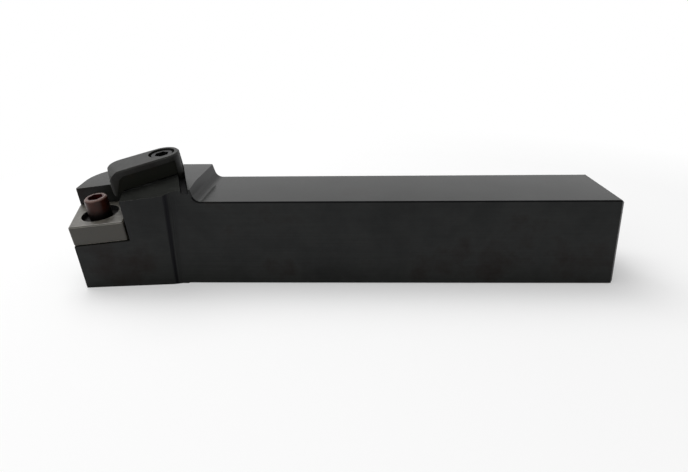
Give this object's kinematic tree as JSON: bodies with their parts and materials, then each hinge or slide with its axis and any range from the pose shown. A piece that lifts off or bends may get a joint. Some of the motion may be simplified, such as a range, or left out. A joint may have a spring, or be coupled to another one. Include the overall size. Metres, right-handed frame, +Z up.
{
  "type": "turning tool holder",
  "caption": "Right-hand lathe tool holder with a square shank, an offset head with a seat for a rhombic insert, a seat plate, a lock pin and a top clamp.",
  "frame": {"origin": "on the base, on the shank's centre line, at the middle of the straight shank", "axes": "+X along the shank to its rear end, +Y to the shank's far side, away from the cutting edges, +Z up from the base"},
  "size_m": [0.125, 0.0233, 0.0289],
  "materials": {
    "blackened_steel": "blackened, ground faces with a soft sheen",
    "carbide_gray": "ground, light gray",
    "bronzed_steel": "bronze-brown oxide, semi-gloss",
    "clamp_steel": "blackened, with a bare ground top",
    "screw_steel": "oiled black"
  },
  "bodies": {
    "holder": {"holder_body": "blackened_steel", "seat_plate": "carbide_gray"},
    "clamp": {"clamp": "clamp_steel"},
    "clamp_screw": {"clamp_screw": "screw_steel"},
    "lock_pin": {"lock_pin": "bronzed_steel"}
  },
  "joints": [
    {"name": "clamp_screw_turn", "type": "hinge", "parent": "holder", "child": "clamp_screw", "pos_m": [-0.05779, 0.00338, 0.01871], "axis": [-0.0735, -0.1273, 0.9891], "range_deg": [0, 541]},
    {"name": "clamp_lift", "type": "slide", "parent": "holder", "child": "clamp", "axis": [-0.0735, -0.1273, 0.9891], "range_m": [0, 0.003]},
    {"name": "lock_pin_turn", "type": "hinge", "parent": "holder", "child": "lock_pin", "pos_m": [-0.0708, -0.007, 0.01641], "axis": [-0.0735, -0.1273, 0.9891], "range_deg": [0, 720]}
  ],
  "couplings": [
    {"joint": "clamp_screw_turn", "follows": "clamp_lift", "rad_per_m": 3141.6}
  ]
}
